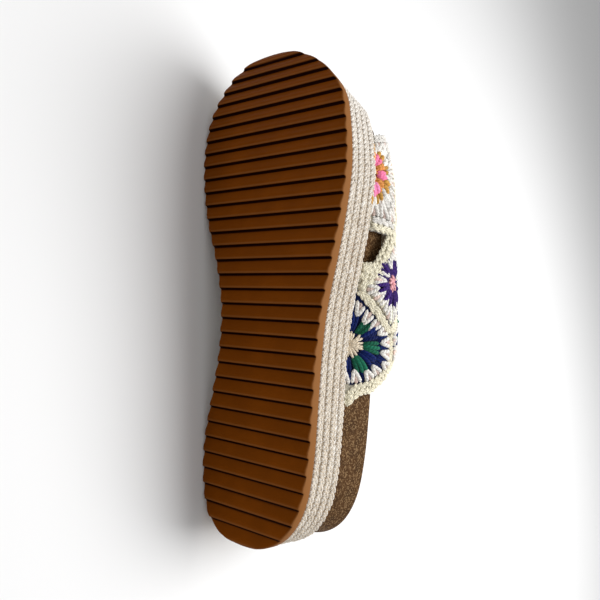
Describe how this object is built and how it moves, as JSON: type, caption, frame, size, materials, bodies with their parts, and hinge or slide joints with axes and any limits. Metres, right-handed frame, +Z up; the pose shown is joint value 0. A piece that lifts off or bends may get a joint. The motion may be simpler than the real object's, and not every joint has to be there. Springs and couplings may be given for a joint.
{
  "type": "platform sandal",
  "caption": "Left platform slide sandal: ripple rubber sole, rope-wrapped platform, cork footbed and an open crochet granny-square upper, lying on its inner side.",
  "frame": {"origin": "on the floor under the middle of the sandal's box, as it lies on its inner side", "axes": "+X from toe to heel along the floor, +Y from the tread to the crown of the upper, +Z up from the inner to the outer side"},
  "size_m": [0.2584, 0.1022, 0.0963],
  "materials": {
    "brown_rubber": "satin moulded rubber",
    "platform_foam": "matt foam",
    "natural_rope": "matt plaited jute and cotton",
    "cork": "matt ground cork",
    "suede": "napped suede",
    "crochet_yarn": "matt cotton crochet"
  },
  "bodies": {
    "root": {"outsole": "brown_rubber", "midsole": "platform_foam", "rope_wrap": "natural_rope", "footbed": "cork", "insole": "suede", "upper": "crochet_yarn"}
  },
  "joints": []
}
